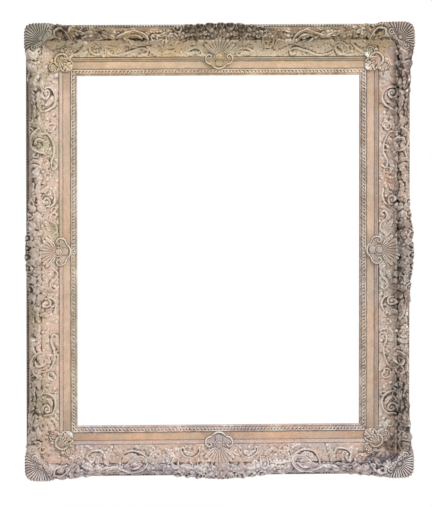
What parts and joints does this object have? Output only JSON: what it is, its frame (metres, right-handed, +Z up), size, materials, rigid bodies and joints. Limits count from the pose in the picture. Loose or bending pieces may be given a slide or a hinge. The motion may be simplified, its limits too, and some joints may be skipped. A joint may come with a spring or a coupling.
{
  "type": "carved wooden picture frame",
  "caption": "Upright rectangular picture frame with a swept carved moulding, ribbed corner shells, centre cartouches, a plain frieze, a rear rebate, ring hangers and turn buttons.",
  "frame": {"origin": "middle of the rear face of the top back rail, in the plane that faces the wall", "axes": "+X to the viewer's right across the frame, +Z up, +Y towards the wall, so the front faces -Y"},
  "size_m": [0.8078, 0.0782, 0.9468],
  "materials": {
    "aged_gilding": "worn gilt and cream paint over gesso, peach ochre on the frieze, grey-green on the carving, dark grime in the recesses and white plaster where chipped",
    "bare_pine": "bare pine, darkened with age, straight grain along each rail",
    "oak_key": "bare oak, planed flush",
    "zinc_steel": "dull zinc-plated steel with light tarnish",
    "aged_brass": "stamped brass, tarnished"
  },
  "bodies": {
    "frame": {"sight_edge_bottom": "aged_gilding", "sight_edge_right": "aged_gilding", "sight_edge_top": "aged_gilding", "sight_edge_left": "aged_gilding", "frieze_bottom": "aged_gilding", "frieze_right": "aged_gilding", "frieze_top": "aged_gilding", "frieze_left": "aged_gilding", "carved_rail_bottom": "aged_gilding", "carved_rail_right": "aged_gilding", "carved_rail_top": "aged_gilding", "carved_rail_left": "aged_gilding", "bead_strip_bottom": "aged_gilding", "bead_strip_right": "aged_gilding", "bead_strip_top": "aged_gilding", "bead_strip_left": "aged_gilding", "centre_cartouche_bottom": "aged_gilding", "centre_cartouche_right": "aged_gilding", "centre_cartouche_top": "aged_gilding", "centre_cartouche_left": "aged_gilding", "corner_shell_bottom_right": "aged_gilding", "corner_shell_top_right": "aged_gilding", "corner_shell_top_left": "aged_gilding", "corner_shell_bottom_left": "aged_gilding", "corner_leaf_bottom_right": "aged_gilding", "corner_leaf_top_right": "aged_gilding", "corner_leaf_top_left": "aged_gilding", "corner_leaf_bottom_left": "aged_gilding", "back_rail_bottom": "bare_pine", "back_rail_right": "bare_pine", "back_rail_top": "bare_pine", "back_rail_left": "bare_pine", "mitre_key_bottom_right": "oak_key", "mitre_key_top_right": "oak_key", "mitre_key_top_left": "oak_key", "mitre_key_bottom_left": "oak_key", "hanger_strap_left": "zinc_steel", "hanger_strap_right": "zinc_steel", "strap_screw_left_1": "zinc_steel", "strap_screw_left_2": "zinc_steel", "strap_screw_right_1": "zinc_steel", "strap_screw_right_2": "zinc_steel", "button_screw_left_upper": "zinc_steel", "button_screw_left_lower": "zinc_steel", "button_screw_right_upper": "zinc_steel", "button_screw_right_lower": "zinc_steel", "button_screw_top": "zinc_steel", "button_screw_bottom": "zinc_steel"},
    "ring_left": {"hanger_ring_left": "zinc_steel"},
    "ring_right": {"hanger_ring_right": "zinc_steel"},
    "button_left_upper": {"turn_button_left_upper": "aged_brass"},
    "button_left_lower": {"turn_button_left_lower": "aged_brass"},
    "button_right_upper": {"turn_button_right_upper": "aged_brass"},
    "button_right_lower": {"turn_button_right_lower": "aged_brass"},
    "button_top": {"turn_button_top": "aged_brass"},
    "button_bottom": {"turn_button_bottom": "aged_brass"}
  },
  "joints": [
    {"name": "ring_left_swing", "type": "hinge", "parent": "frame", "child": "ring_left", "pos_m": [-0.3325, 0.00305, -0.1795], "axis": [0, 0, 1], "range_deg": [0, 180]},
    {"name": "ring_right_swing", "type": "hinge", "parent": "frame", "child": "ring_right", "pos_m": [0.3325, 0.00305, -0.1795], "axis": [0, 0, -1], "range_deg": [0, 180]},
    {"name": "button_left_upper_turn", "type": "hinge", "parent": "frame", "child": "button_left_upper", "pos_m": [-0.3125, 0.0011, -0.2665], "axis": [0, 1, 0], "continuous": true},
    {"name": "button_left_lower_turn", "type": "hinge", "parent": "frame", "child": "button_left_lower", "pos_m": [-0.3125, 0.0011, -0.5665], "axis": [0, 1, 0], "continuous": true},
    {"name": "button_right_upper_turn", "type": "hinge", "parent": "frame", "child": "button_right_upper", "pos_m": [0.3125, 0.0011, -0.2665], "axis": [0, 1, 0], "continuous": true},
    {"name": "button_right_lower_turn", "type": "hinge", "parent": "frame", "child": "button_right_lower", "pos_m": [0.3125, 0.0011, -0.5665], "axis": [0, 1, 0], "continuous": true},
    {"name": "button_top_turn", "type": "hinge", "parent": "frame", "child": "button_top", "pos_m": [0, 0.0011, -0.0345], "axis": [0, 1, 0], "continuous": true},
    {"name": "button_bottom_turn", "type": "hinge", "parent": "frame", "child": "button_bottom", "pos_m": [0, 0.0011, -0.7985], "axis": [0, 1, 0], "continuous": true}
  ]
}
